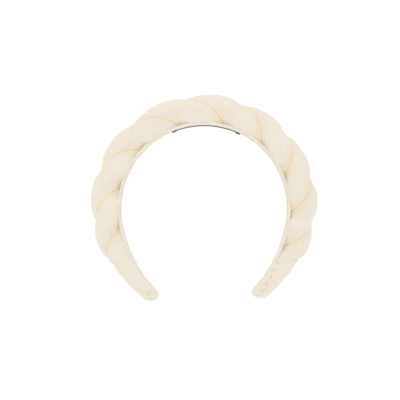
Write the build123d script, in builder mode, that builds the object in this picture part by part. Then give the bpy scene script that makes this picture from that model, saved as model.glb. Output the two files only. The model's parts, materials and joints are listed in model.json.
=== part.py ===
from build123d import *

# A padded twist headband: two stuffed fabric rolls twisted round each other on a fabric-covered hoop.
# +Z points to the crown, X runs from ear to ear and Y from the front to the back, in millimetres.
# The origin is the centre of the arc that the lining follows over the head.

import os
from math import cos, degrees, pi, radians, sin

# The arch, along the lining's inner face
head_radius = 65.0  # arc over the crown, from shoulder to shoulder
shoulder_angle = 100.0  # from the crown down to where an arm begins, in degrees
arm_radius = 105.0  # the arms open out to this flatter arc
arm_length = 62.0  # from a shoulder to the tip

# The hoop and its layers, from the head outwards
crown_width = 26.0
tip_width = 14.0
lining_thickness = 0.7
lining_hem = 1.5  # the lining stops this far inside the hoop's edge
wrap_thickness = 0.5
core_thickness = 1.3

# The twist of two rolls on the hoop
twist_height = 21.6  # where one roll lies over the other
twist_width = 29.0  # where the rolls lie side by side
roll_breadth = 16.8  # of one roll, along the face where the rolls meet
roll_swell = 3.2  # from the meeting face to where a roll is broadest
half_turns = 9
twist_reach = 137.2  # the twist runs this far each way from the crown, along the lining
end_tightening = 0.45  # half turns drawn from the crown towards both ends
crown_lean = 0.18  # half turns by which the crown's crossings lag
roll_fabric = 0.9
outside_fullness = 2.2  # 2 is an ellipse, and more is squarer
face_fullness = 4.0

# The sleeves over the roll ends
sleeve_start = 137.2  # along the lining, from the crown
sleeve_height = 15.8  # over the hoop, at the mouth
sleeve_tip_height = 8.4
sleeve_slimming = 1.3  # 1 tapers in a straight line, and more hollows the sleeve's back
sleeve_overhang = 1.2  # past the hoop's edge, on each side
sleeve_fabric = 0.8
sleeve_fullness = 3.2
neck_length = 12.0  # over which the rolls lose height to enter a sleeve
narrowing_length = 26.0  # over which they lose width
roll_end_margin = 10.0  # from the ends of the rolls to the tip

# The label and the sewing thread
label_length = 55.0
label_width = 14.0
label_thickness = 0.3
label_shift = 1.7  # from the crown towards +X
label_row_inset = 2.0  # from the label's ends to its rows of stitches
label_stitch_count = 4
label_stitch_length = 2.0
thread_thickness = 0.15
thread_radius = 0.3
stitch_low = 0.9  # from the lining's inner face to a stitch
tack_spread = 1.0  # from the middle of a pair of tacks to each
tip_stitch_pitch = 6.0
left_tip_stitch_count = 1  # on each edge of the sleeve
right_tip_stitch_count = 5

# Clearances
seat_gap = 0.05  # between the hoop and what lies on it
fill_gap = 0.08  # between a filling and its cover
meet_gap = 0.24  # between the two rolls
sleeve_fit = 0.65  # between a sleeve and the rolls in it
thread_gap = 0.2  # between a stitch and what it lies on

station_pitch = 4.2  # along the lining, between the sections of a roll
outline_steps = 14  # of each curve of a section
sleeve_steps = 6
dome_steps = 6
dome_sweep = 84.0  # degrees of a sleeve's rounded end that are built, short of its closing point
cut_margin = 1.0  # by which a cutter runs past what it cuts
search_step = 0.01  # how closely a crossing of the rolls is placed

shoulder_distance = head_radius * radians(shoulder_angle)
tip_distance = shoulder_distance + arm_length
wrap_low = lining_thickness
core_low = wrap_low + wrap_thickness
core_high = core_low + core_thickness
hoop_height = core_high + wrap_thickness
twist_floor = hoop_height + seat_gap
rolls_end = tip_distance - roll_end_margin

os.makedirs("parts", exist_ok=True)


def save(part, name):
    """Label a finished piece and write it as a STEP file."""
    part.label = name
    export_step(part, f"parts/{name}.step")


# ---- the arch ----


def arch_angle(distance):
    """Angle from the crown of the outward direction, at a distance along the lining."""
    past_shoulder = max(0.0, abs(distance) - shoulder_distance)
    angle = (abs(distance) - past_shoulder) / head_radius + past_shoulder / arm_radius
    return angle if distance >= 0 else -angle


def outward(distance):
    """Unit vector away from the head."""
    angle = arch_angle(distance)
    return Vector(sin(angle), 0, cos(angle))


def arch_point(distance, height=0.0):
    """Point over the lining's inner face, at a height above it."""
    if abs(distance) <= shoulder_distance:
        return outward(distance) * (head_radius + height)
    shoulder = outward(shoulder_distance if distance > 0 else -shoulder_distance)
    arm_centre = shoulder * (head_radius - arm_radius)
    return arm_centre + outward(distance) * (arm_radius + height)


def section_plane(distance):
    """Plane across the arch: x runs to the back of the head, y away from it."""
    along = Vector(0, 1, 0).cross(outward(distance))
    return Plane(origin=arch_point(distance), x_dir=(0, 1, 0), z_dir=along)


def face_plane(distance, height):
    """Plane facing away from the head: x runs to the back of the head, y along the arch."""
    return Plane(origin=arch_point(distance, height), x_dir=(0, 1, 0), z_dir=outward(distance))


def hoop_half_width(distance):
    """Half of the hoop's width, which narrows along the arms."""
    past_shoulder = abs(distance) - shoulder_distance
    if past_shoulder <= 0:
        return crown_width / 2
    taper_length = arm_radius * sin(arm_length / arm_radius) - tip_width / 2
    from_tip = arm_radius * sin((arm_length - past_shoulder) / arm_radius)
    share = (from_tip - tip_width / 2) / taper_length
    return tip_width / 2 + (crown_width - tip_width) / 2 * max(0.0, share)


# ---- the hoop: core, wrap and lining ----


def arm_waste(inset):
    """Sketch what is cut away beside an arm, so that it tapers to a rounded tip."""
    shoulder_y = arm_radius * sin(arm_length / arm_radius)
    tip_radius = tip_width / 2
    tip_half = tip_radius - inset
    crown_half = crown_width / 2 - inset
    top_y = shoulder_y + tip_width
    low_y = -tip_width
    with BuildSketch(face_plane(tip_distance, 0)) as waste:
        with Locations((0, (low_y + top_y - cut_margin) / 2)):
            Rectangle(crown_width + tip_width, top_y - cut_margin - low_y)
        with BuildLine():
            Polyline(
                (-tip_half, tip_radius),
                (-crown_half, shoulder_y),
                (-crown_half, top_y),
                (crown_half, top_y),
                (crown_half, shoulder_y),
                (tip_half, tip_radius),
            )
            ThreePointArc((tip_half, tip_radius), (0, inset), (-tip_half, tip_radius))
        make_face(mode=Mode.SUBTRACT)
    return waste.sketch


def hoop_half(low, high, inset):
    """Build a layer of the hoop from the crown to the +X tip, set in from the hoop's edge."""
    end = tip_distance - inset
    arm_centre = outward(shoulder_distance) * (head_radius - arm_radius)
    arm_sweep = degrees(arch_angle(end)) - shoulder_angle
    with BuildPart() as half:
        with BuildSketch(Plane.XZ):
            with BuildLine():
                for height in (low, high):
                    CenterArc((0, 0), head_radius + height, 90, -shoulder_angle)
                    CenterArc(
                        (arm_centre.X, arm_centre.Z), arm_radius + height, 90 - shoulder_angle, -arm_sweep
                    )
                for distance in (0, end):
                    inner, outer = arch_point(distance, low), arch_point(distance, high)
                    Line((inner.X, inner.Z), (outer.X, outer.Z))
            make_face()
        extrude(amount=crown_width / 2 - inset, both=True)
        add(arm_waste(inset))
        extrude(amount=arm_length / 2, dir=outward(tip_distance), both=True, mode=Mode.SUBTRACT)
    return half.part


core_half = hoop_half(core_low, core_high, wrap_thickness)
with BuildPart() as core_band:
    add(core_half)
    mirror(about=Plane.YZ)
save(core_band.part, "core_band")

wrap_half = hoop_half(wrap_low, hoop_height, 0)
with BuildPart() as band_cover:
    add(wrap_half)
    mirror(about=Plane.YZ)
    add(core_band.part, mode=Mode.SUBTRACT)
save(band_cover.part, "band_cover")


def label_arc(low, high, length, width, shift):
    """Build a strip that follows the head's arc, beside the crown."""
    middle = 90 - degrees(shift / head_radius)
    spread = degrees(length / 2 / head_radius)
    with BuildPart() as strip:
        with BuildSketch(Plane.XZ):
            with BuildLine():
                for height in (low, high):
                    CenterArc((0, 0), head_radius + height, middle - spread, 2 * spread)
                for angle in (middle - spread, middle + spread):
                    along = Vector(cos(radians(angle)), sin(radians(angle)))
                    Line(along * (head_radius + low), along * (head_radius + high))
            make_face()
        extrude(amount=width / 2, both=True)
    return strip.part


label_recess = label_arc(-cut_margin, label_thickness, label_length, label_width, label_shift)
lining_half = hoop_half(0, lining_thickness, lining_hem)
with BuildPart() as inner_lining:
    add(lining_half)
    mirror(about=Plane.YZ)
    add(label_recess, mode=Mode.SUBTRACT)
save(inner_lining.part, "inner_lining")



def label_thread(low):
    """Build the rows of stitches at the label's ends, from a height over the lining's inner face."""
    row_shift = label_length / 2 - label_row_inset
    shifts = (label_shift - row_shift, label_shift + row_shift)
    rows = [
        label_arc(low, thread_thickness, 2 * thread_radius, label_stitch_length, shift) for shift in shifts
    ]
    with BuildPart() as stitches:
        with GridLocations(0, label_width / label_stitch_count, 1, label_stitch_count):
            for row in rows:
                add(row)
    return stitches.part


label_body = label_arc(0, label_thickness, label_length, label_width, label_shift)
thread_pockets = label_thread(-cut_margin)
with BuildPart() as woven_label:
    add(label_body)
    add(thread_pockets, mode=Mode.SUBTRACT)
save(woven_label.part, "woven_label")
save(label_thread(0), "label_stitches")


# ---- the twist: two stuffed rolls ----


def crossings_passed(distance):
    """Half turns of the twist from its -X end; at a whole number the rolls lie side by side."""
    reach = max(-1.0, min(1.0, distance / twist_reach))
    even = half_turns / 2 * (1 + reach)
    middle = 1 - reach**2
    return even - end_tightening * reach * middle - crown_lean * middle**2


def distance_of(crossings):
    """Distance along the lining at which so many half turns have passed."""
    low, high = -twist_reach, twist_reach
    while high - low > search_step:
        middle = (low + high) / 2
        if crossings_passed(middle) < crossings:
            low = middle
        else:
            high = middle
    return (low + high) / 2


def sleeve_size(distance):
    """Outer half width and height of a sleeve over the hoop."""
    to_tip = max(0.0, (tip_distance - abs(distance)) / (tip_distance - sleeve_start))
    height = sleeve_tip_height + (sleeve_height - sleeve_tip_height) * to_tip**sleeve_slimming
    return hoop_half_width(distance) + sleeve_overhang, height


def ease(share):
    """Share of a smooth change that has passed, without a kink at either end."""
    share = min(1.0, max(0.0, share))
    return share * share * (3 - 2 * share)


def twist_size(distance):
    """Half width and height of the two rolls together, which narrow to enter the sleeves."""
    in_sleeve = max(abs(distance), sleeve_start)
    half_width, height = (size - sleeve_fabric - sleeve_fit for size in sleeve_size(in_sleeve))
    to_mouth = sleeve_start - abs(distance)
    half_width += (twist_width / 2 - half_width) * ease(to_mouth / narrowing_length)
    height += (twist_height - height) * ease(to_mouth / neck_length)
    return half_width, height


def plain_roll(inset):
    """Outline of one roll before it is turned: a D whose straight face meets the other roll.

    X is the depth from the meeting face and Y the place along it. The first half of the points goes
    round the outside of the roll and the second half back along the meeting face.
    """
    outside, face = [], []
    for step in range(outline_steps + 1):
        angle = -pi / 2 + pi * step / outline_steps
        wide = (roll_breadth / 2 - inset) * abs(sin(angle)) ** (2 / outside_fullness)
        deep = (twist_height / 2 - roll_swell - inset) * cos(angle) ** (2 / outside_fullness)
        outside.append(Vector(roll_swell + deep, wide if angle > 0 else -wide))
        wide = (roll_breadth / 2 - inset) * abs(sin(angle)) ** (2 / face_fullness)
        deep = (roll_swell - meet_gap / 2 - inset) * cos(angle) ** (2 / face_fullness)
        face.append(Vector(roll_swell - deep, -wide if angle > 0 else wide))
    return outside, face


def spacing_of(points):
    """Share of the way along a curve at each of its points."""
    passed = [0.0]
    for before, after in zip(points, points[1:]):
        passed.append(passed[-1] + (after - before).length)
    return [length / passed[-1] for length in passed]


def turned(point, turn, half_width, height):
    """Turn a point with the twist, spread it sideways and press it flat on the hoop."""
    reach = twist_height / 2
    across = point.X * cos(turn) - point.Y * sin(turn)
    up = point.X * sin(turn) + point.Y * cos(turn)
    if up < 0:
        low = -up / reach
        up = -reach * (low + low * low * (1 - low))
    return Vector(across / reach * half_width, twist_floor + (up + reach) / 2 / reach * height)


def roll_body(side, inset):
    """Build one roll as a solid, or what lies deeper in it than the inset."""
    spacings = [spacing_of(curve) for curve in plain_roll(0)]
    count = round(2 * rolls_end / station_pitch)
    with BuildPart() as body:
        for station in range(count + 1):
            distance = rolls_end * (2 * station / count - 1)
            turn = pi * crossings_passed(distance) + (0 if side > 0 else pi)
            half_width, height = twist_size(distance)
            outline = plain_roll(inset * twist_height / height)
            with BuildSketch(section_plane(distance)):
                with BuildLine():
                    for curve, spacing in zip(outline, spacings):
                        points = [turned(point, turn, half_width, height) for point in curve]
                        add(Edge.make_spline(points, parameters=spacing))
                make_face()
        loft()
    return body.part


for side, letter in ((1, "a"), (-1, "b")):
    roll = roll_body(side, 0)
    hollow = roll_body(side, roll_fabric)
    filling = roll_body(side, roll_fabric + fill_gap)
    with BuildPart() as roll_cover:
        add(roll)
        add(hollow, mode=Mode.SUBTRACT)
    save(roll_cover.part, f"roll_{letter}_cover")
    save(filling, f"roll_{letter}_filling")


# ---- the sleeves over the roll ends ----


def sleeve_body(end, inset, mouth_extra=0.0, floor_extra=0.0):
    """Build one sleeve as a solid, or the hollow that lies deeper in it than the inset."""
    dome_start = tip_distance - tip_width / 2
    dome_length = tip_width / 2 + sleeve_overhang - inset
    straight_start = sleeve_start - mouth_extra
    straight = [
        straight_start + (dome_start - straight_start) * step / sleeve_steps for step in range(sleeve_steps)
    ]
    dome = [
        dome_start + dome_length * sin(radians(dome_sweep) * step / dome_steps)
        for step in range(dome_steps + 1)
    ]
    spacing = spacing_of(sleeve_outline(1, 1, 0))
    with BuildPart() as body:
        for distance in straight + dome:
            past = max(0.0, distance - dome_start) / dome_length
            shrink = (1 - past * past) ** 0.5
            half_width, height = ((size - inset) * shrink for size in sleeve_size(distance))
            outline = sleeve_outline(half_width, height + floor_extra, twist_floor - floor_extra)
            with BuildSketch(section_plane(end * distance)):
                with BuildLine():
                    add(Edge.make_spline(outline, parameters=spacing))
                    Line(outline[-1], outline[0])
                make_face()
        loft()
    return body.part


def sleeve_outline(half_width, height, floor):
    """Points over a sleeve's section, from one foot on the hoop to the other."""
    points = []
    for step in range(outline_steps + 1):
        angle = pi * step / outline_steps
        across = half_width * abs(cos(angle)) ** (2 / sleeve_fullness) * (1 if cos(angle) > 0 else -1)
        points.append(Vector(across, floor + height * abs(sin(angle)) ** (2 / sleeve_fullness)))
    return points


for end, name in ((-1, "left_tip_sleeve"), (1, "right_tip_sleeve")):
    sleeve_solid = sleeve_body(end, 0)
    sleeve_hollow = sleeve_body(end, sleeve_fabric, mouth_extra=cut_margin, floor_extra=cut_margin)
    with BuildPart() as tip_sleeve:
        add(sleeve_solid)
        add(sleeve_hollow, mode=Mode.SUBTRACT)
    save(tip_sleeve.part, name)


# ---- the sewing thread ----


def edge_stitches(places):
    """Build thread loops that lie against the hoop's edge, each at a distance and on a side."""
    with BuildPart() as stitches:
        for distance, side in places:
            across = side * (hoop_half_width(distance) + thread_gap + thread_radius)
            with BuildSketch(face_plane(distance, stitch_low)):
                with Locations((across, 0)):
                    Circle(thread_radius)
            extrude(amount=hoop_height - stitch_low)
    return stitches.part


def tack_places(side, phase):
    """Pairs of stitches where the meeting line of the rolls comes down to the hoop's edge."""
    middles = [distance_of(turn + phase) for turn in range(half_turns)]
    return [(middle + step, side) for middle in middles for step in (-tack_spread, tack_spread)]


def tip_places(end, count):
    """Stitches along both edges of a sleeve, from its tip upwards."""
    last = tip_distance - tip_width / 2 - thread_radius
    distances = [end * (last - tip_stitch_pitch * step) for step in range(count)]
    return [(distance, side) for distance in distances for side in (-1, 1)]


save(edge_stitches(tack_places(-1, 0.75)), "front_tack_stitches")
save(edge_stitches(tack_places(1, 0.25)), "rear_tack_stitches")
save(edge_stitches(tip_places(-1, left_tip_stitch_count)), "left_tip_stitches")
save(edge_stitches(tip_places(1, right_tip_stitch_count)), "right_tip_stitches")
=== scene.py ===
"""Padded twist headband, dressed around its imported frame.

Two stuffed velour rolls are twisted round each other on a covered hoop. +Z points to the crown,
X runs from ear to ear and Y from the front to the back, in metres.
"""

import json
import logging
from collections.abc import Callable, Iterable
from dataclasses import dataclass
from enum import Enum
from math import atan2, cos, hypot, pi, radians, sin, sqrt

import bmesh
import bpy
from mathutils import Matrix, Vector, noise


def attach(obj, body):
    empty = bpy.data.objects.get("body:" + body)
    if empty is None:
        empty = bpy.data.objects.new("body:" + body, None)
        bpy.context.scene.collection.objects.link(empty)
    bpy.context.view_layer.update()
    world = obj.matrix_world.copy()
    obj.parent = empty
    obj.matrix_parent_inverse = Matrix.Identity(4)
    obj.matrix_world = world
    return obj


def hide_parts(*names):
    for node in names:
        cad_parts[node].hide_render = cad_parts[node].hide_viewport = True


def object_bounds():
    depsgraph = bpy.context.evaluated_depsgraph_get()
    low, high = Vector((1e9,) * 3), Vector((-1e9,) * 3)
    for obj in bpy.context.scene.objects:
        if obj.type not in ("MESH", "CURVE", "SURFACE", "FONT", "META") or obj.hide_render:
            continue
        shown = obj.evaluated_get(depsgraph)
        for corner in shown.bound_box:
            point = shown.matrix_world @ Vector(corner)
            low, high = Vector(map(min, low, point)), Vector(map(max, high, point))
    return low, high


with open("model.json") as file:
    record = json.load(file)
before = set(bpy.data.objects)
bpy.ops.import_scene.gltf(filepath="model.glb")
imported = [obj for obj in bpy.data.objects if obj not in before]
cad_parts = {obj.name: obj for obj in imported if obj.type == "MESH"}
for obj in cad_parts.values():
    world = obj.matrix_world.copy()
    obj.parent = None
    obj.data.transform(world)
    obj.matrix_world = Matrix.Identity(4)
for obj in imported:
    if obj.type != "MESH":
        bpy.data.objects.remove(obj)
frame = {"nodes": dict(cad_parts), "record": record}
cad_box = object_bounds()

logging.basicConfig(level=logging.INFO, format="%(message)s")
log = logging.getLogger("headband")

MM = 0.001
BODY = "root"
MERGE = 0.01 * MM
PARALLEL = 1e-12
# Vertex weight of the folds between the rolls: the velour paints warm shade by it, and the puffing holds the
# cloth by it.
FOLD = "fold"
WEAVE = "weave"
WAVE_PITCH = 0.314

Colour = tuple[float, float, float]
Placer = Callable[[float, float], tuple[Vector, float]]
Socket = bpy.types.NodeSocket
Mesh = bmesh.types.BMesh
Piece = bpy.types.Object


class End(Enum):
    """The two tips of the headband, as signs along X."""

    LEFT = -1
    RIGHT = 1


class Side(Enum):
    """The two edges of the hoop, as signs along Y."""

    FRONT = -1
    REAR = 1


class Grip(Enum):
    LAID = "laid"
    FOLDED = "folded"
    STRETCHED = "stretched"


def ease(share: float) -> float:
    """Give the part of a smooth change that has passed at a share of it."""
    share = min(1.0, max(0.0, share))
    return share * share * (3 - 2 * share)


def blend(start: float, finish: float, share: float) -> float:
    """Give the value at a share of the way from start to finish."""
    return start + (finish - start) * share


def bulged(wave: float, power: float) -> float:
    """Give a wave's value raised to a power, with its sign."""
    return abs(wave) ** power * (1 if wave > 0 else -1)


def placed(name: str, data: bpy.types.ID) -> Piece:
    """Add an object with that data to the scene."""
    piece = bpy.data.objects.new(name, data)
    bpy.context.scene.collection.objects.link(piece)
    return piece


# ---- finishes ----


class Dyer:
    """Builds one procedural material.

    Attributes:
        material: The material.
        shader: Its principled shader.
    """

    def __init__(self, name: str) -> None:
        """Start a material.

        Args:
            name: The material's name.
        """
        self.material = bpy.data.materials.new(name)
        self.material.use_nodes = True
        self.tree = self.material.node_tree
        self.shader = self.tree.nodes["Principled BSDF"]

    def set(self, **values: float | Colour) -> None:
        """Set constant values on the shader.

        Args:
            **values: Socket names with underscores for spaces, and their values.
        """
        for name, value in values.items():
            socket = self.shader.inputs[name.replace("_", " ")]
            socket.default_value = (*value, 1.0) if isinstance(value, tuple) else value

    def node(self, kind: str, links: dict[str, Socket] | None = None, **values: object) -> bpy.types.Node:
        """Add a node.

        Args:
            kind: Its type, without the leading ShaderNode.
            links: Sockets to join to its inputs, by input name.
            **values: Input values by name with underscores for spaces, or settings of the node.

        Returns:
            The node.
        """
        made = self.tree.nodes.new(f"ShaderNode{kind}")
        for name, value in values.items():
            label = name.replace("_", " ")
            if hasattr(made, name):
                setattr(made, name, value)
            else:
                made.inputs[label].default_value = value
        for name, socket in (links or {}).items():
            self.tree.links.new(socket, made.inputs[name])
        return made

    def link(self, socket: Socket, name: str) -> None:
        """Join a socket to the shader's input of that name."""
        self.tree.links.new(socket, self.shader.inputs[name])

    def place(self, own_map: bool = False) -> Socket:
        """Give the object's own coordinates, or the cloth's own map."""
        coordinates = self.node("TexCoord")
        return coordinates.outputs["UV" if own_map else "Object"]

    def stretched(self, socket: Socket, scale: Colour) -> Socket:
        """Stretch coordinates by a factor along each axis."""
        return self.node("Mapping", {"Vector": socket}, Scale=scale).outputs["Vector"]

    def grain(self, place: Socket, size: float, detail: float = 2.0) -> Socket:
        """Give a noise whose features are about that size in metres."""
        return self.node("TexNoise", {"Vector": place}, Scale=1 / size, Detail=detail).outputs["Fac"]

    def tint(
        self, share: Socket, low: Colour, high: Colour, span: tuple[float, float] = (0, 1)
    ) -> Socket:
        """Spread a share over two colours.

        Args:
            share: The share, from 0 to 1.
            low: The colour at and below the span's start.
            high: The colour at and above its end.
            span: Where the change starts and ends.

        Returns:
            The colour.
        """
        ramp = self.node("ValToRGB", {"Fac": share})
        stops = ramp.color_ramp.elements
        stops[0].position, stops[1].position = span
        stops[0].color, stops[1].color = (*low, 1), (*high, 1)
        return ramp.outputs["Color"]

    def mixed(self, share: Socket, low: Socket, high: Socket) -> Socket:
        """Mix two colours by a share."""
        mix = self.node("Mix", data_type="RGBA")
        for name, socket in (("Factor_Float", share), ("A_Color", low), ("B_Color", high)):
            chosen = next(entry for entry in mix.inputs if entry.identifier == name)
            self.tree.links.new(socket, chosen)
        return next(entry for entry in mix.outputs if entry.identifier == "Result_Color")

    def reckon(self, operation: str, first: Socket, second: Socket | float) -> Socket:
        """Combine a socket with another or with a number."""
        made = self.node("Math", operation=operation)
        self.tree.links.new(first, made.inputs[0])
        if isinstance(second, float):
            made.inputs[1].default_value = second
        else:
            self.tree.links.new(second, made.inputs[1])
        return made.outputs["Value"]

    def blended(self, first: Socket, first_share: float, second: Socket, second_share: float) -> Socket:
        """Add two sockets in two shares."""
        first_part = self.reckon("MULTIPLY", first, first_share)
        return self.reckon("ADD", first_part, self.reckon("MULTIPLY", second, second_share))

    def waves(self, place: Socket, direction: str, pitch: float, **values: float) -> Socket:
        """Give straight bands along a direction, at a pitch in metres."""
        wave = {"wave_type": "BANDS", "bands_direction": direction, "Scale": WAVE_PITCH / pitch, **values}
        return self.node("TexWave", {"Vector": place}, **wave).outputs["Fac"]

    def emboss(self, height: Socket, depth: float, strength: float) -> None:
        """Raise the surface by a height map.

        Args:
            height: The map, from 0 to 1.
            depth: What 1 stands for, in metres.
            strength: How much of it shows.
        """
        bump = self.node("Bump", {"Height": height}, Distance=depth, Strength=strength)
        self.link(bump.outputs["Normal"], "Normal")


@dataclass(frozen=True)
class Velour:
    """Ivory short-pile velour, with painted warm shade where it goes down into a fold."""

    slot: str = "velour"
    shade: Colour = (0.835, 0.765, 0.655)
    bloom: Colour = (0.865, 0.80, 0.695)
    # Painted shade: warmer, browner colours that stand in for the bounce light and shade down in the seams.
    painted_fold_shade_dark: Colour = (0.86, 0.755, 0.585)
    painted_fold_shade_light: Colour = (0.89, 0.785, 0.62)
    patch: float = 16 * MM
    stroke: float = 2.6 * MM
    tuft: float = 0.35 * MM
    span: tuple[float, float] = (0.36, 0.62)

    def material(self) -> bpy.types.Material:
        """Mix brushed patches, strokes and tufts, with painted warm shade in the folds."""
        dye = Dyer("ivory_velour")
        place = dye.place()
        patches = dye.grain(place, self.patch, 3.0)
        strokes = dye.grain(dye.stretched(place, (1.0, 0.45, 1.0)), self.stroke, 3.0)
        tufts = dye.grain(place, self.tuft, 2.0)
        lay = dye.blended(patches, 0.62, strokes, 0.38)
        cloth = dye.tint(lay, self.shade, self.bloom, self.span)
        # Painted shade: the fold weight mixes in warmer, browner colours where the cloth goes down into a
        # seam.
        painted_fold_shade = dye.tint(lay, self.painted_fold_shade_dark, self.painted_fold_shade_light, self.span)
        fold = dye.node("Attribute", attribute_name=FOLD).outputs["Fac"]
        dye.link(dye.mixed(fold, cloth, painted_fold_shade), "Base Color")
        rough = dye.reckon("ADD", dye.reckon("MULTIPLY", tufts, 0.2), 0.78)
        dye.link(rough, "Roughness")
        dye.set(Sheen_Weight=0.35, Sheen_Roughness=0.45, Sheen_Tint=(1.0, 0.95, 0.92))
        dye.set(Specular_IOR_Level=0.18)
        dye.emboss(dye.blended(tufts, 0.45, strokes, 0.55), 0.35 * MM, 0.35)
        return dye.material


@dataclass(frozen=True)
class Ribbon:
    """Ivory woven ribbon with fine ribs across it."""

    slot: str = "lining"
    shade: Colour = (0.82, 0.745, 0.62)
    bloom: Colour = (0.87, 0.80, 0.68)
    rib: float = 0.7 * MM

    def material(self) -> bpy.types.Material:
        """Weave ribs along the cloth's own map."""
        dye = Dyer("ivory_ribbon")
        cloth = dye.place(own_map=True)
        irregular = {"Distortion": 0.25, "Detail": 2.0, "Detail_Scale": 2.0}
        ribs = dye.waves(cloth, "X", self.rib, **irregular)
        picks = dye.waves(cloth, "Y", 2 * self.rib, **irregular)
        weave = dye.blended(ribs, 0.7, picks, 0.3)
        dye.link(dye.tint(weave, self.shade, self.bloom), "Base Color")
        dye.set(Roughness=0.72, Sheen_Weight=0.15, Specular_IOR_Level=0.3)
        dye.emboss(weave, 0.12 * MM, 0.35)
        return dye.material


@dataclass(frozen=True)
class LabelSatin:
    """Black woven satin with a fine twill."""

    slot: str = "label_weave"
    shade: Colour = (0.004, 0.004, 0.005)
    bloom: Colour = (0.018, 0.017, 0.020)
    yarn: float = 0.3 * MM

    def material(self) -> bpy.types.Material:
        """Weave a diagonal twill on the label's own map."""
        dye = Dyer("black_label_satin")
        cloth = dye.place(own_map=True)
        twill = dye.waves(cloth, "DIAGONAL", self.yarn, Distortion=0.4, Detail=1.0)
        dye.link(dye.tint(twill, self.shade, self.bloom), "Base Color")
        dye.set(Roughness=0.7, Specular_IOR_Level=0.12)
        dye.emboss(twill, 0.08 * MM, 0.5)
        return dye.material


@dataclass(frozen=True)
class Thread:
    """Twisted sewing thread."""

    name: str
    slot: str
    shade: Colour
    bloom: Colour
    ply: float = 0.25 * MM

    def material(self) -> bpy.types.Material:
        """Wind diagonal plies round the thread."""
        dye = Dyer(self.name)
        plies = dye.waves(dye.place(), "DIAGONAL", self.ply, Distortion=0.6)
        dye.link(dye.tint(plies, self.shade, self.bloom), "Base Color")
        dye.set(Roughness=0.6, Sheen_Weight=0.2, Specular_IOR_Level=0.35)
        dye.emboss(plies, 0.06 * MM, 0.6)
        return dye.material


@dataclass(frozen=True)
class Wadding:
    """White polyester wadding."""

    slot: str = "filling"
    shade: Colour = (0.72, 0.71, 0.69)
    bloom: Colour = (0.90, 0.89, 0.87)
    fibre: float = 1.4 * MM

    def material(self) -> bpy.types.Material:
        """Mat fibres from a stretched noise."""
        dye = Dyer("white_wadding")
        fibres = dye.grain(dye.stretched(dye.place(), (0.35, 1.0, 1.0)), self.fibre, 6.0)
        dye.link(dye.tint(fibres, self.shade, self.bloom, (0.3, 0.7)), "Base Color")
        dye.set(Roughness=0.95, Sheen_Weight=0.4)
        dye.emboss(fibres, 0.8 * MM, 0.8)
        return dye.material


@dataclass(frozen=True)
class SpringPlastic:
    """Matt plastic of the springy core."""

    slot: str = "core_plastic"
    shade: Colour = (0.70, 0.68, 0.61)
    bloom: Colour = (0.80, 0.78, 0.72)
    mottle: float = 3 * MM

    def material(self) -> bpy.types.Material:
        """Mottle the moulded plastic."""
        dye = Dyer("core_plastic")
        mottle = dye.grain(dye.place(), self.mottle, 4.0)
        dye.link(dye.tint(mottle, self.shade, self.bloom), "Base Color")
        dye.set(Roughness=0.5)
        dye.emboss(mottle, 0.03 * MM, 0.4)
        return dye.material


CREAM_THREAD = Thread("cream_thread", "sewing_thread", (0.70, 0.58, 0.42), (0.82, 0.73, 0.58))
BLACK_THREAD = Thread("black_thread", "label_thread", (0.01, 0.01, 0.012), (0.05, 0.05, 0.055))
Finish = Velour | Ribbon | LabelSatin | Thread | Wadding | SpringPlastic


class Dyehouse:
    """Keeps one material for each finish."""

    def __init__(self) -> None:
        """Start with no material."""
        self.made: dict[Finish, bpy.types.Material] = {}

    def dress(self, piece: Piece, finish: Finish) -> None:
        """Give a piece a finish in all its slots.

        Args:
            piece: The piece.
            finish: Its finish.
        """
        if finish not in self.made:
            self.made[finish] = finish.material()
        if not piece.material_slots:
            piece.data.materials.append(self.made[finish])
        for slot in piece.material_slots:
            slot.material = self.made[finish]


DYEHOUSE = Dyehouse()


def cloth_grid(along: int, around: int, size: tuple[float, float], place: Placer) -> Mesh:
    """Lay out a grid of cloth and move each of its points to its place.

    Args:
        along: Faces along the piece.
        around: Faces round it.
        size: The cloth's length and girth in metres, for its own map.
        place: Gives the place and the fold weight at a share along and a share round.

    Returns:
        The mesh, merged where its edges meet.
    """
    cloth = bmesh.new()
    weave = cloth.loops.layers.uv.new(WEAVE)
    fold = cloth.verts.layers.float.new(FOLD)
    bmesh.ops.create_grid(cloth, x_segments=along, y_segments=around, size=0.5)
    for face in cloth.faces:
        for loop in face.loops:
            flat = loop.vert.co
            loop[weave].uv = ((flat.x + 0.5) * size[0], (flat.y + 0.5) * size[1])
    for point in cloth.verts:
        point.co, point[fold] = place(point.co.x + 0.5, point.co.y + 0.5)
    bmesh.ops.remove_doubles(cloth, verts=cloth.verts, dist=MERGE)
    return cloth


def closed(cloth: Mesh) -> Mesh:
    """Close a mesh's open ends and turn its faces outwards."""
    rims = [edge for edge in cloth.edges if edge.is_boundary]
    bmesh.ops.holes_fill(cloth, edges=rims, sides=0)
    bmesh.ops.recalc_face_normals(cloth, faces=cloth.faces)
    return cloth


def finished(name: str, mesh: Mesh, finish: Finish, nodes: Iterable[str]) -> Piece:
    """Make a piece of the headband from its mesh.

    Args:
        name: The piece's name.
        mesh: Its mesh, which is freed.
        finish: Its finish.
        nodes: The CAD nodes that it stands for.

    Returns:
        The piece, riding on the body.
    """
    data = bpy.data.meshes.new(name)
    mesh.to_mesh(data)
    mesh.free()
    data.shade_smooth()
    piece = placed(name, data)
    DYEHOUSE.dress(piece, finish)
    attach(piece, BODY)
    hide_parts(*nodes)
    log.info("%s: %d faces", name, len(data.polygons))
    return piece


def subdivided(piece: Piece, levels: int = 1) -> None:
    """Smooth a piece by subdivision."""
    smooth = piece.modifiers.new("smooth", "SUBSURF")
    smooth.levels = smooth.render_levels = levels


def thickened(piece: Piece, thickness: float) -> None:
    """Give cloth its thickness, inwards."""
    wall = piece.modifiers.new("cloth", "SOLIDIFY")
    wall.thickness = thickness
    wall.offset = -1.0


# ---- the shape of the headband ----


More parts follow.
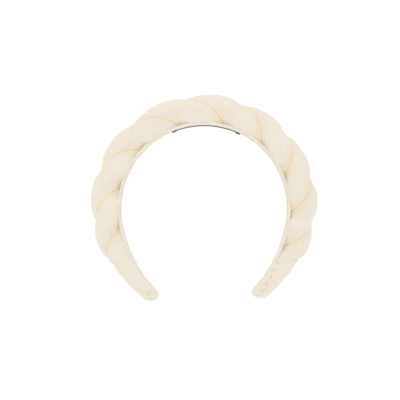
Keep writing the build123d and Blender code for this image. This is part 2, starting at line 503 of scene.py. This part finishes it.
@dataclass(frozen=True)
class Arch:
    """The line that the lining's inner face follows over the head."""

    head_radius: float = frame["record"]["mounts"][0]["dims"]["r_mm"] * MM
    shoulder_angle: float = radians(100)
    arm_radius: float = 105 * MM
    arm_length: float = 62 * MM

    @property
    def shoulder(self) -> float:
        """Distance along the arch from the crown to a shoulder."""
        return self.head_radius * self.shoulder_angle

    @property
    def tip(self) -> float:
        """Distance along the arch from the crown to a tip."""
        return self.shoulder + self.arm_length

    def outward(self, distance: float) -> Vector:
        """Give the unit vector away from the head at a distance from the crown."""
        past = max(0.0, abs(distance) - self.shoulder)
        angle = (abs(distance) - past) / self.head_radius + past / self.arm_radius
        return Vector((sin(angle) * (1 if distance >= 0 else -1), 0, cos(angle)))

    def place(self, distance: float, across: float, height: float) -> Vector:
        """Give a place on the headband.

        Args:
            distance: Along the arch from the crown, towards +X.
            across: Towards the back of the head.
            height: Away from the head, over the lining's inner face.

        Returns:
            The place.
        """
        out = self.outward(distance)
        if abs(distance) <= self.shoulder:
            return out * (self.head_radius + height) + Vector((0, across, 0))
        shoulder = self.outward(self.shoulder if distance > 0 else -self.shoulder)
        arm_centre = shoulder * (self.head_radius - self.arm_radius)
        return arm_centre + out * (self.arm_radius + height) + Vector((0, across, 0))


@dataclass(frozen=True)
class HoopShape:
    """Width and layers of the covered hoop."""

    arch: Arch = Arch()
    crown_width: float = 26 * MM
    tip_width: float = 14 * MM
    lining_height: float = 0.7 * MM
    height: float = 3.0 * MM
    left_toe: float = 3.0 * MM
    right_toe: float = 0.3 * MM

    def toe(self, distance: float) -> float:
        """Give the distance, without sign, at which the sleeve on that arm ends."""
        return self.arch.tip + (self.right_toe if distance > 0 else self.left_toe)

    def half_width(self, distance: float) -> float:
        """Give half of the hoop's width before its tip is rounded.

        Args:
            distance: Along the arch.

        Returns:
            Half of the width.
        """
        past = abs(distance) - self.arch.shoulder
        if past <= 0:
            return self.crown_width / 2
        radius, length = self.arch.arm_radius, self.arch.arm_length
        from_tip = radius * sin((length - past) / radius)
        taper = radius * sin(length / radius) - self.tip_width / 2
        share = max(0.0, (from_tip - self.tip_width / 2) / taper)
        return blend(self.tip_width / 2, self.crown_width / 2, share)

    def rounding(self, distance: float, end: float, radius: float) -> float:
        """Give the share of the width that is left in a rounded end.

        Args:
            distance: Along the arch.
            end: Where the end's last point is, as a distance without sign.
            radius: The length that is rounded.

        Returns:
            1 before the end, and less to 0 within it.
        """
        past = max(0.0, abs(distance) - (end - radius)) / radius
        return sqrt(max(0.0, 1 - past * past))


@dataclass(frozen=True)
class TwistShape:
    """Law of the twist of the two rolls and its size along the arch."""

    hoop: HoopShape = HoopShape()
    floor: float = 1.9 * MM
    height: float = 21.9 * MM
    width: float = 29 * MM
    breadth: float = 16.8 * MM
    swell: float = 0.7 * MM
    half_turns: int = 9
    reach: float = 137.2 * MM
    end_tightening: float = 0.45
    crown_lean: float = 0.18
    outside_fullness: float = 2.4
    face_fullness: float = 3.0
    meet_overlap: float = 0.7 * MM
    pressing: float = 2.6
    foot_flare: float = 0.7
    left_slimming: float = 0.07
    right_slimming: float = 0.10
    slimming_start: float = 88 * MM
    slimming_length: float = 30 * MM
    sleeve_start: float = 137.2 * MM
    sleeve_height: float = 15.0 * MM
    sleeve_tip_height: float = 8.4 * MM
    sleeve_slimming: float = 1.3
    sleeve_overhang: float = 1.2 * MM
    sleeve_clearance: float = 1.45 * MM
    neck_length: float = 17 * MM
    neck_end: float = 147 * MM
    narrowing_length: float = 26 * MM
    end_margin: float = 10 * MM
    # Where the fold weight, and the painted fold shade with it, starts on the outside near the seam.
    fold_start: float = 0.978

    @property
    def rolls_end(self) -> float:
        """Distance from the crown to the ends of the rolls."""
        return self.hoop.arch.tip - self.end_margin

    def crossings(self, distance: float) -> float:
        """Give the half turns passed from the -X end; whole numbers lay the rolls side by side."""
        reach = max(-1.0, min(1.0, distance / self.reach))
        middle = 1 - reach**2
        even = self.half_turns / 2 * (1 + reach)
        return even - self.end_tightening * reach * middle - self.crown_lean * middle**2

    def distance_of(self, crossings: float) -> float:
        """Find where so many half turns have passed.

        Args:
            crossings: The half turns from the -X end.

        Returns:
            The distance along the arch.
        """
        low, high = -self.reach, self.reach
        while high - low > MERGE:
            middle = (low + high) / 2
            if self.crossings(middle) < crossings:
                low = middle
            else:
                high = middle
        return (low + high) / 2

    def sleeve_size(self, distance: float) -> tuple[float, float]:
        """Give the outer half width and the height of a sleeve over the hoop."""
        tip = self.hoop.arch.tip
        to_tip = max(0.0, (tip - abs(distance)) / (tip - self.sleeve_start))
        height = blend(self.sleeve_tip_height, self.sleeve_height, to_tip**self.sleeve_slimming)
        return self.hoop.half_width(distance) + self.sleeve_overhang, height

    def size(self, distance: float) -> tuple[float, float]:
        """Size the two rolls together.

        Args:
            distance: Along the arch.

        Returns:
            Their half width and their height.
        """
        half_width, height = self.sleeve_size(max(abs(distance), self.sleeve_start))
        half_width, height = half_width - self.sleeve_clearance, height - self.sleeve_clearance
        to_mouth = self.sleeve_start - abs(distance)
        half_width = blend(half_width, self.width / 2, ease(to_mouth / self.narrowing_length))
        slimming = self.right_slimming if distance > 0 else self.left_slimming
        slimmed = ease((abs(distance) - self.slimming_start) / self.slimming_length)
        full = self.height * (1 - slimming * slimmed)
        return half_width, blend(height, full, ease((self.neck_end - abs(distance)) / self.neck_length))

    def plain(self, share: float, inset: float) -> tuple[float, float, float]:
        """Give a point of one roll's outline before it is turned.

        Args:
            share: Round the outline: the outside up to a half, then back along the meeting face.
            inset: How deep in the roll the outline lies.

        Returns:
            The depth from the meeting face, the place along it, and the fold weight, which also places the
            painted fold shade.
        """
        outside = share < 0.5
        angle = (share if outside else share - 0.5) * 2 * pi - pi / 2
        power = 2 / (self.outside_fullness if outside else self.face_fullness)
        wide = (self.breadth / 2 - inset) * bulged(sin(angle), power)
        if outside:
            deep = (self.height / 2 - self.swell - inset) * max(0.0, cos(angle)) ** power
            return self.swell + deep, wide, ease((abs(sin(angle)) - self.fold_start) / (1 - self.fold_start))
        deep = (self.swell + self.meet_overlap - inset) * max(0.0, cos(angle)) ** power
        return self.swell - deep, -wide, 1.0

    def turned(self, deep: float, wide: float, turn: float, distance: float) -> tuple[float, float]:
        """Turn a point with the twist, spread it sideways and press it flat on the hoop.

        Args:
            deep: Its depth from the meeting face.
            wide: Its place along that face.
            turn: The turn, in radians.
            distance: Along the arch.

        Returns:
            Its place across the hoop and its height over the lining's inner face.
        """
        reach = self.height / 2
        half_width, height = self.size(distance)
        across = deep * cos(turn) - wide * sin(turn)
        up = deep * sin(turn) + wide * cos(turn)
        if up < 0:
            low = -up / reach
            up = -reach * min(1.0, low + self.pressing * low * low * (1 - low))
            across *= 1 + self.foot_flare * low * low
        return across / reach * half_width, self.floor + (up + reach) / 2 / reach * height

    def section(
        self, distance: float, lead: float, share: float, inset: float = 0.0
    ) -> tuple[float, float, float]:
        """Give a point of one roll's section.

        Args:
            distance: Along the arch.
            lead: The roll's own turn, in radians.
            share: Round its outline.
            inset: How deep in the roll.

        Returns:
            The place across, the height and the fold weight.
        """
        height = self.size(distance)[1]
        deep, wide, fold = self.plain(share, inset * self.height / height)
        turn = pi * self.crossings(distance) + lead
        across, up = self.turned(deep, wide, turn, distance)
        return across, max(up, self.floor + inset), fold


ARCH = Arch()
HOOP = HoopShape()
TWIST = TwistShape()


def height_over(place: Vector) -> float:
    """Give the height of a place over the lining's inner face."""
    shoulder = ARCH.outward(ARCH.shoulder if place.x > 0 else -ARCH.shoulder)
    flat = Vector((place.x, 0, place.z))
    if atan2(abs(place.x), place.z) <= ARCH.shoulder_angle:
        return flat.length - ARCH.head_radius
    return (flat - shoulder * (ARCH.head_radius - ARCH.arm_radius)).length - ARCH.arm_radius


# ---- the rolls ----


@dataclass
class TwistRoll:
    """One stuffed roll of the twist, with its cover and its wadding."""

    letter: str
    lead: float
    seed: float
    rings: int = 300
    points: int = 64
    lump: float = 30 * MM
    lump_depth: float = 0.45 * MM
    pucker: float = 3.4 * MM
    pucker_depth: float = 0.32 * MM
    wadding_inset: float = 1.6 * MM
    puff_scale: float = 10.0
    puff_pressure: float = 4.0
    puff_slack: float = 0.04
    puff_frames: int = 20
    puff_cap: float = 0.7 * MM
    held_height: float = 1.2 * MM
    fold_hold: float = 3.0
    cloth_quality: int = 4
    cloth_mass: float = 0.2
    cloth_stiffness: float = 8.0
    cloth_bending: float = 0.4

    def cover(self) -> Piece:
        """Build the velour tube."""
        length = 2 * TWIST.rolls_end

        def place(along: float, around: float) -> tuple[Vector, float]:
            """Give a point of the tube."""
            distance = length * (along - 0.5)
            across, height, fold = TWIST.section(distance, self.lead, around % 1.0)
            return ARCH.place(distance, across, height), fold

        cloth = closed(cloth_grid(self.rings, self.points, (length, 3 * TWIST.breadth), place))
        self.puff(cloth)
        self.ruffle(cloth)
        piece = finished(f"twist_roll_{self.letter}", cloth, Velour(), [f"roll_{self.letter}_cover"])
        subdivided(piece)
        return piece

    def puff(self, cloth: Mesh) -> None:
        """Let the cover swell and crease as real cloth, held where it goes into the folds.

        Args:
            cloth: The cover's mesh, which is moved.
        """
        fold = cloth.verts.layers.float[FOLD]
        cloth.verts.index_update()
        data = bpy.data.meshes.new("puffed")
        cloth.to_mesh(data)
        data.transform(Matrix.Scale(self.puff_scale, 4))
        balloon = placed("puffed", data)
        held = balloon.vertex_groups.new(name="held")
        for point in cloth.verts:
            low = ease((TWIST.floor + self.held_height - height_over(point.co)) / MM)
            held.add([point.index], max(ease(point[fold] * self.fold_hold), low), "REPLACE")
        swelling = balloon.modifiers.new("swelling", "CLOTH")
        cloth_rules = swelling.settings
        cloth_rules.quality = self.cloth_quality
        cloth_rules.mass = self.cloth_mass
        cloth_rules.tension_stiffness = cloth_rules.compression_stiffness = self.cloth_stiffness
        cloth_rules.bending_stiffness = self.cloth_bending
        cloth_rules.shrink_min = -self.puff_slack
        cloth_rules.use_pressure = True
        cloth_rules.uniform_pressure_force = self.puff_pressure
        cloth_rules.vertex_group_mass = held.name
        cloth_rules.effector_weights.gravity = 0
        swelling.collision_settings.use_collision = False
        for step in range(1, self.puff_frames + 1):
            bpy.context.scene.frame_set(step)
        shown = balloon.evaluated_get(bpy.context.evaluated_depsgraph_get())
        for point, swollen in zip(cloth.verts, shown.data.vertices):
            move = swollen.co / self.puff_scale - point.co
            if move.length > self.puff_cap:
                move *= self.puff_cap / move.length
            point.co += move
        bpy.context.scene.frame_set(1)
        bpy.data.objects.remove(balloon)
        bpy.data.meshes.remove(data)

    def ruffle(self, cloth: Mesh) -> None:
        """Give the velour soft lumps, and small puckers beside its folds.

        Args:
            cloth: The cover's mesh, which is moved.
        """
        fold = cloth.verts.layers.float[FOLD]
        cloth.normal_update()
        moves = []
        for point in cloth.verts:
            shift = Vector((self.seed, 0, 0))
            lumps = noise.noise(point.co / self.lump + shift) * self.lump_depth
            beside = 4 * point[fold] * (1 - point[fold])
            puckers = noise.noise(point.co / self.pucker + shift) * self.pucker_depth * beside
            moves.append(point.normal * (lumps * (1 - point[fold]) + puckers))
        for point, move in zip(cloth.verts, moves):
            point.co += move

    def wadding(self) -> Piece:
        """Build the wadding under the cover."""
        length = 2 * TWIST.rolls_end - 2 * self.wadding_inset

        def place(along: float, around: float) -> tuple[Vector, float]:
            """Give a point of the wadding."""
            distance = length * (along - 0.5)
            across, height, fold = TWIST.section(distance, self.lead, around % 1.0, self.wadding_inset)
            return ARCH.place(distance, across, height), fold

        fibres = closed(cloth_grid(self.rings // 2, self.points // 2, (length, 3 * TWIST.breadth), place))
        piece = finished(f"wadding_{self.letter}", fibres, Wadding(), [f"roll_{self.letter}_filling"])
        return piece

    def build(self) -> None:
        """Build both pieces."""
        self.cover()
        self.wadding()


# ---- the hoop ----


@dataclass
class CoveredHoop:
    """The springy core, the velour wrapped over it and the ribbon lining."""

    steps: int = 280
    around: int = 64
    edge_fullness: float = 5.0
    wrap_fullness: float = 2.4
    lining_fullness: float = 2.6
    end_thinning: float = 0.45
    lip_swell: float = 0.7 * MM
    lip_drop: float = 0.75 * MM
    lip_width: float = 2.2 * MM
    wrap_thickness: float = 0.3 * MM
    hem: float = 1.5 * MM
    wrap_stop: float = 0.7 * MM
    lining_stop: float = 5 * MM
    lip_fade: float = 26 * MM
    lip_turn: float = 4.0
    crowding: float = 0.45

    def strip(
        self, low: float, high: float, inset: float, fullness: float, stop: float, lip: float = 0.0
    ) -> Mesh:
        """Build a flat strip with round edges, from tip to tip.

        Args:
            low: Height of its inner face.
            high: Height of its outer face.
            inset: How far it stops inside the hoop's edge.
            fullness: How square its edges are: 2 is round.
            stop: How far before the sleeves' ends it ends.
            lip: How far its edges hang below its inner face.

        Returns:
            Its mesh.
        """
        left, right = (end.value * (HOOP.toe(end.value) - stop) for end in End)
        rounded = HOOP.tip_width / 2 - inset

        def place(along: float, around: float) -> tuple[Vector, float]:
            """Give a point of the strip, with more rings near its rounded ends."""
            reach = 2 * along - 1
            distance = blend(left, right, (1 + reach * (1 + self.crowding * (1 - reach**2))) / 2)
            end = abs(right if distance > 0 else left)
            half = (HOOP.half_width(distance) - inset) * HOOP.rounding(distance, end, rounded)
            thinned = 1 - HOOP.rounding(distance, end, rounded / 3)
            flat = (high - low) / 2 * (1 - self.end_thinning * thinned)
            angle = 2 * pi * around
            power = 2 / fullness
            height = (low + high) / 2 + flat * bulged(sin(angle), power)
            across = abs(cos(angle)) ** (2 / self.edge_fullness) * half
            if sin(angle) < 0:
                hang = ease((end - abs(distance)) / self.lip_fade) * ease(-self.lip_turn * sin(angle))
                height -= lip * ease((across - half + self.lip_width) / (self.lip_width / 2)) * hang
            return ARCH.place(distance, across * (1 if cos(angle) > 0 else -1), height), 0.0

        return closed(cloth_grid(self.steps, self.around, (right - left, 2 * HOOP.crown_width), place))

    def wrap(self) -> Piece:
        """Build the velour that is wrapped over the core."""
        swell, stop = -self.lip_swell, self.wrap_stop
        strip = self.strip(HOOP.lining_height, HOOP.height, swell, self.wrap_fullness, stop, self.lip_drop)
        piece = finished("hoop_wrap", strip, Velour(), ["band_cover"])
        thickened(piece, self.wrap_thickness)
        return piece

    def lining(self) -> Piece:
        """Build the ribbon on the head side."""
        strip = self.strip(0.0, HOOP.lining_height, self.hem, self.lining_fullness, self.lining_stop)
        piece = finished("ribbon_lining", strip, Ribbon(), ["inner_lining"])
        return piece

    def build(self) -> None:
        """Build the layers, and finish the core that lies in them."""
        self.wrap()
        self.lining()
        DYEHOUSE.dress(frame["nodes"]["core_band"], SpringPlastic())


# ---- the sleeves ----


@dataclass
class TipSleeve:
    """The velour sleeve over the roll ends on one arm."""

    end: End
    mouth_foot: float
    sewn: list[tuple[float, float]]
    rings: int = 56
    points: int = 48
    fullness: float = 2.7
    mouth_curve: float = 1.5
    crowding: float = 0.9
    halvings: int = 20
    ring_points: int = 48
    cloth: float = 0.6 * MM
    cloth_lap: float = 0.15 * MM
    mouth_sink: float = 1.1 * MM
    tuck: float = 1.6 * MM
    toe_tuck: float = 3.2 * MM
    pucker: float = 2.3 * MM
    pucker_reach: float = 1.3
    pucker_depth: float = 0.7 * MM
    # How deep the puckers round the hand stitches pull, and how much painted shade they get.
    pucker_dent_and_painted_shade: float = 0.9
    toe_start: float = 24 * MM
    toe_middle: float = 3.2 * MM
    toe_depth: float = 8 * MM
    foot_depth: float = 2.5 * MM
    meld: float = 8 * MM
    seam_tuck: float = 0.8 * MM
    wrinkle: float = 9 * MM
    wrinkle_depth: float = 0.3 * MM

    def mouth(self, around: float) -> float:
        """Draw the mouth's edge, which follows the last seam on one side.

        Args:
            around: Share from the front foot over the top to the rear one.

        Returns:
            Its distance from the crown, without sign.
        """
        front = around < 0.5
        if front == (self.end is End.LEFT):
            return self.seam_distance(pi * min(around, 1 - around))
        return blend(TWIST.sleeve_start, self.mouth_foot, abs(2 * around - 1) ** self.mouth_curve)

    def seam_distance(self, angle: float) -> float:
        """Find where the rolls' last meeting line passes.

        Args:
            angle: Over the hoop's top, in radians.

        Returns:
            The distance from the crown, without sign.
        """
        low, high = 0.0, 1.0
        for _ in range(self.halvings):
            turn = (low + high) / 2
            across, height = TWIST.turned(0.0, TWIST.breadth / 2, pi * turn, -TWIST.reach)
            if atan2(height - TWIST.floor, -across) > angle:
                low = turn
            else:
                high = turn
        return -TWIST.distance_of((low + high) / 2) + self.seam_tuck

    def roll_reach(self, distance: float, angle: float) -> float:
        """Measure the rolls from the middle of the hoop's top.

        Args:
            distance: Along the arch.
            angle: The direction, in radians.

        Returns:
            How far they reach.
        """
        reach = 0.0
        ray = Vector((cos(angle), sin(angle)))
        for lead in (0.0, pi):
            steps = range(self.ring_points)
            ring = [TWIST.section(distance, lead, step / self.ring_points)[:2] for step in steps]
            for before, after in zip(ring, ring[1:] + ring[:1]):
                start = Vector((before[0], before[1] - TWIST.floor))
                side = Vector((after[0], after[1] - TWIST.floor)) - start
                turn = ray.x * side.y - ray.y * side.x
                if abs(turn) < PARALLEL:
                    continue
                along = (start.x * side.y - start.y * side.x) / turn
                share = (start.x * ray.y - start.y * ray.x) / turn
                if 0 <= share <= 1:
                    reach = max(reach, along)
        return reach

    def place(self, along: float, around: float) -> tuple[Vector, float]:
        """Give a point of the sleeve.

        Args:
            along: Share from the mouth to the tip.
            around: Share from the front foot over the top to the rear one.

        Returns:
            The place and the fold weight, which paints warm shade in the puckers.
        """
        last = HOOP.toe(self.end.value)
        mouth = self.mouth(around)
        distance = blend(mouth, last, sin(along * pi / 2) ** self.crowding if along else 0.0)
        left = HOOP.rounding(distance, last, HOOP.tip_width / 2 + TWIST.sleeve_overhang)
        half_width, height = TWIST.sleeve_size(distance)
        angle = pi * (1 - around)
        power = self.fullness
        level = (abs(cos(angle)) / half_width) ** power + (sin(angle) / height) ** power
        reach = level ** (-1 / power)
        plain = ease((distance - TWIST.sleeve_start) / self.meld)
        if plain < 1:
            lap = blend(-self.mouth_sink, self.cloth_lap, ease((distance - mouth) / (self.meld / 2)))
            over_rolls = self.roll_reach(self.end.value * distance, angle) + lap
            reach = blend(over_rolls, reach, plain)
        toe = ease((distance - last + self.toe_start) / (self.toe_start / 2))
        foot = blend(self.tuck, self.toe_tuck, toe) * (1 - sin(angle))
        up = HOOP.height + reach * sin(angle) - foot
        depth = self.toe_depth if up > self.toe_middle else self.foot_depth
        up = self.toe_middle + (up - self.toe_middle) * HOOP.rounding(distance, last, depth)
        # Painted shade: the pucker weight is returned as the fold weight, so the puckers get the velour's
        # warm fold shade as well as their dent.
        tint = self.pucker_dent_and_painted_shade * self.puckered(distance, up) * ease(2 * abs(cos(angle)) - 0.5)
        across = (reach - self.pucker_depth * tint) * left * cos(angle)
        return ARCH.place(self.end.value * distance, across, up), tint

    def puckered(self, distance: float, up: float) -> float:
        """Give how strongly the hand stitches pull a place on the side of the sleeve, up to 1."""
        nearest = min(hypot(distance - abs(stitch), up - height) for stitch, height in self.sewn)
        return ease(self.pucker_reach - nearest / self.pucker)

    def build(self) -> Piece:
        """Build the sleeve with faint wrinkles along it."""
        grid = cloth_grid(self.rings, self.points, (45 * MM, 48 * MM), self.place)
        bmesh.ops.recalc_face_normals(grid, faces=grid.faces)
        grid.normal_update()
        probe = max(grid.verts, key=lambda point: point.co.x * self.end.value)
        if probe.normal.x * self.end.value < 0:
            bmesh.ops.reverse_faces(grid, faces=grid.faces)
        grid.normal_update()
        for point in grid.verts:
            lumps = noise.noise(point.co / self.wrinkle + Vector((7.3 * self.end.value, 0, 0)))
            point.co += point.normal * lumps * self.wrinkle_depth
        name = self.end.name.lower()
        piece = finished(f"{name}_sleeve", grid, Velour(), [f"{name}_tip_sleeve"])
        thickened(piece, self.cloth)
        subdivided(piece)
        return piece


# ---- the label ----


@dataclass
class CrownLabel:
    """The blank dark label on the lining at the crown, with its ends folded under."""

    length: float = 55 * MM
    width: float = 14 * MM
    shift: float = 1.7 * MM
    thickness: float = 0.3 * MM
    fold_length: float = 4 * MM
    end_lift: float = 0.15 * MM
    left_lift: float = 0.2
    lining_gap: float = 0.05 * MM
    edge_power: float = 0.2
    face_power: float = 0.8
    steps: int = 70
    around: int = 28
    row_inset: float = 2 * MM
    stitches: int = 4
    stitch_length: float = 2 * MM
    stitch_rise: float = 0.3 * MM
    stitch_depth: float = 0.75 * MM
    thread_radius: float = 0.14 * MM

    def build(self) -> None:
        """Build the label and its thread."""

        def place(along: float, around: float) -> tuple[Vector, float]:
            """Give a point of the label: flat in the middle and thicker where it's folded."""
            from_middle = abs(2 * along - 1) * self.length / 2
            folded = ease((from_middle - self.length / 2 + self.fold_length) / MM)
            depth = self.thickness * (1 + folded)
            lift = self.end_lift * folded * (1 if along > 0.5 else self.left_lift)
            low = -self.lining_gap - depth - lift
            angle = 2 * pi * around
            across = self.width / 2 * bulged(cos(angle), self.edge_power)
            rise = depth / 2 * bulged(sin(angle), self.face_power)
            distance = self.shift + self.length * (along - 0.5)
            return ARCH.place(distance, across, low + depth / 2 + rise), 0.0

        cloth = closed(cloth_grid(self.steps, self.around, (self.length, 2 * self.width), place))
        piece = finished("crown_label", cloth, LabelSatin(), ["woven_label"])
        self.thread()

    def thread(self) -> Piece:
        """Build the rows of stitches at the label's ends."""
        rows = bmesh.new()
        gap = self.width / self.stitches
        for end in End:
            distance = self.shift + end.value * (self.length / 2 - self.row_inset)
            for step in range(self.stitches):
                across = gap * (step - (self.stitches - 1) / 2)
                start = ARCH.place(distance, across, -self.stitch_depth)
                turn = start_turn(distance) @ Matrix.Rotation(pi / 2, 4, "Z")
                place = Matrix.Translation(start) @ turn
                loop_of_thread(rows, place, self.stitch_length, self.stitch_rise, self.thread_radius)
        return finished("label_thread", rows, BLACK_THREAD, ["label_stitches"])


def start_turn(distance: float) -> Matrix:
    """Give the turn that lays X along the arch and Z towards the head at a distance."""
    out = ARCH.outward(distance)
    along = Vector((0, 1, 0)).cross(out)
    return Matrix((along, Vector((0, -1, 0)), -out)).transposed().to_4x4()


def loop_of_thread(mesh: Mesh, place: Matrix, length: float, rise: float, radius: float) -> None:
    """Add one stitch: a low arch of thread with its ends in the cloth.

    Args:
        mesh: The mesh it is added to.
        place: Lays X along the stitch and Z away from the cloth.
        length: From end to end.
        rise: The arch's height.
        radius: The thread's radius.
    """
    old_points, old_faces = set(mesh.verts), set(mesh.faces)
    ring = bmesh.ops.create_circle(mesh, segments=8, radius=radius, cap_ends=True)["verts"]
    stand = Matrix.Translation((-length / 2, 0, 0))
    bmesh.ops.transform(mesh, matrix=stand, verts=ring)
    face = ring[0].link_faces[0]
    bmesh.ops.spin(
        mesh,
        geom=[face, *face.edges, *face.verts],
        cent=(0, 0, 0),
        axis=(0, 1, 0),
        angle=pi,
        steps=8,
        use_merge=False,
    )
    added = [point for point in mesh.verts if point not in old_points]
    bmesh.ops.scale(mesh, vec=(1, 1, rise / (length / 2)), verts=added)
    bmesh.ops.transform(mesh, matrix=place, verts=added)
    faces = [face for face in mesh.faces if face not in old_faces]
    bmesh.ops.recalc_face_normals(mesh, faces=faces)


# ---- the hand stitches on the hoop's edges ----


@dataclass
class EdgeStitches:
    """A group of stitches that stand on the hoop's edge, under a fold."""

    name: str
    node: str
    places: list[tuple[float, float, Side]]
    outset: float = 0.6 * MM
    radius: float = 0.2 * MM
    length: float = 2.1 * MM
    rise: float = 0.45 * MM

    def build(self) -> Piece:
        """Build the stitches."""
        rows = bmesh.new()
        for distance, height, side in self.places:
            across = side.value * (HOOP.half_width(distance) + self.outset)
            out = ARCH.outward(distance)
            away = Vector((0, side.value, 0))
            turn = Matrix((out, away.cross(out), away)).transposed().to_4x4()
            start = ARCH.place(distance, across, height)
            loop_of_thread(rows, Matrix.Translation(start) @ turn, self.length, self.rise, self.radius)
        return finished(self.name, rows, CREAM_THREAD, [self.node])


@dataclass
class HandSewing:
    """All the hand stitches that hold the twist and the sleeves."""

    tack_spread: float = 1.0 * MM
    tack_height: float = 3.0 * MM
    front_phase: float = 0.75
    rear_phase: float = 0.25
    tip_pitch: float = 6.0 * MM
    tip_height: float = 5.8 * MM
    tip_lean: float = 0.1
    thread_radius: float = 0.3 * MM
    sleeve_outset: float = 0.8 * MM
    left_count: int = 1
    right_count: int = 5

    def tacks(self, side: Side, phase: float) -> list[tuple[float, float, Side]]:
        """Give the pairs of tacks where the rolls' meeting line comes down to the hoop's edge."""
        middles = [TWIST.distance_of(turn + phase) for turn in range(TWIST.half_turns)]
        steps = (-self.tack_spread, self.tack_spread)
        return [(middle + step, self.tack_height, side) for middle in middles for step in steps]

    def sewn(self, end: End) -> list[tuple[float, float]]:
        """Space the stitches on one sleeve, from its tip upwards.

        Args:
            end: The sleeve's arm.

        Returns:
            Their distances along the arch and their heights.
        """
        last = HOOP.toe(end.value) - HOOP.tip_width / 2 - self.thread_radius
        count = self.left_count if end is End.LEFT else self.right_count
        steps = [self.tip_pitch * step for step in range(count)]
        return [(end.value * (last - step), self.tip_height - self.tip_lean * step) for step in steps]

    def tips(self, end: End) -> None:
        """Build the stitches on both sides of a sleeve."""
        name = end.name.lower()
        places = [(distance, height, side) for distance, height in self.sewn(end) for side in Side]
        EdgeStitches(f"{name}_tip_thread", f"{name}_tip_stitches", places, self.sleeve_outset).build()

    def build(self) -> None:
        """Build the four groups."""
        for side, phase in ((Side.FRONT, self.front_phase), (Side.REAR, self.rear_phase)):
            name = side.name.lower()
            EdgeStitches(f"{name}_tacks", f"{name}_tack_stitches", self.tacks(side, phase)).build()
        for end in End:
            self.tips(end)


# ---- the studio ----


@dataclass
class Studio:
    """Camera, soft light and pale floor."""

    distance: float = 2.0
    centre: tuple[float, float] = (-3.2 * MM, 6.6 * MM)
    frame_width: float = 313.8 * MM
    sensor: float = 36.0
    floor_size: float = 0.9
    world_strength: float = 1.0
    key_energy: float = 0.5
    key_size: float = 0.6
    key_place: tuple[float, float, float] = (-0.45, -0.8, 0.9)
    floor_gap: float = 2 * MM

    def camera(self) -> None:
        """Place the camera in front of the face, level with the middle of the arch."""
        data = bpy.data.cameras.new("camera")
        data.sensor_width = self.sensor
        data.lens = self.sensor * self.distance / self.frame_width
        camera = placed("camera", data)
        camera.location = (self.centre[0], -self.distance, self.centre[1])
        camera.rotation_euler = (pi / 2, 0, 0)
        bpy.context.scene.camera = camera

    def light(self) -> None:
        """Set a white world and one large soft lamp from the upper left."""
        scene = bpy.context.scene
        scene.view_settings.view_transform = "Standard"
        world = bpy.data.worlds.new("studio")
        scene.world = world
        world.use_nodes = True
        world.node_tree.nodes["Background"].inputs["Color"].default_value = (1, 1, 1, 1)
        world.node_tree.nodes["Background"].inputs["Strength"].default_value = self.world_strength
        data = bpy.data.lights.new("key", "AREA")
        data.energy = self.key_energy
        data.size = self.key_size
        key = placed("key", data)
        key.location = self.key_place
        key.rotation_euler = (-Vector(self.key_place)).to_track_quat("-Z", "Y").to_euler()

    def floor(self) -> None:
        """Lay a white floor just under the tips."""
        mesh = bmesh.new()
        bmesh.ops.create_grid(mesh, x_segments=1, y_segments=1, size=self.floor_size)
        drop = Matrix.Translation((0, 0, cad_box[0][2] - self.floor_gap))
        bmesh.ops.transform(mesh, matrix=drop, verts=mesh.verts)
        data = bpy.data.meshes.new("floor")
        mesh.to_mesh(data)
        mesh.free()
        floor = placed("floor", data)
        paint = Dyer("floor_white")
        paint.set(Base_Color=(0.0, 0.0, 0.0), Emission_Color=(1.0, 1.0, 1.0))
        paint.set(Emission_Strength=1.0, Specular_IOR_Level=0.0)
        data.materials.append(paint.material)

    def build(self) -> None:
        """Set the studio up."""
        self.camera()
        self.light()
        self.floor()


def main() -> None:
    """Build the headband, piece by piece, in its studio."""
    Studio().build()
    CoveredHoop().build()
    TwistRoll("a", 0.0, 3.1).build()
    TwistRoll("b", pi, 8.7).build()
    sewing = HandSewing()
    TipSleeve(End.LEFT, mouth_foot=139 * MM, sewn=sewing.sewn(End.LEFT)).build()
    TipSleeve(End.RIGHT, mouth_foot=140 * MM, sewn=sewing.sewn(End.RIGHT)).build()
    CrownLabel().build()
    sewing.build()


if __name__ == "__main__":
    main()
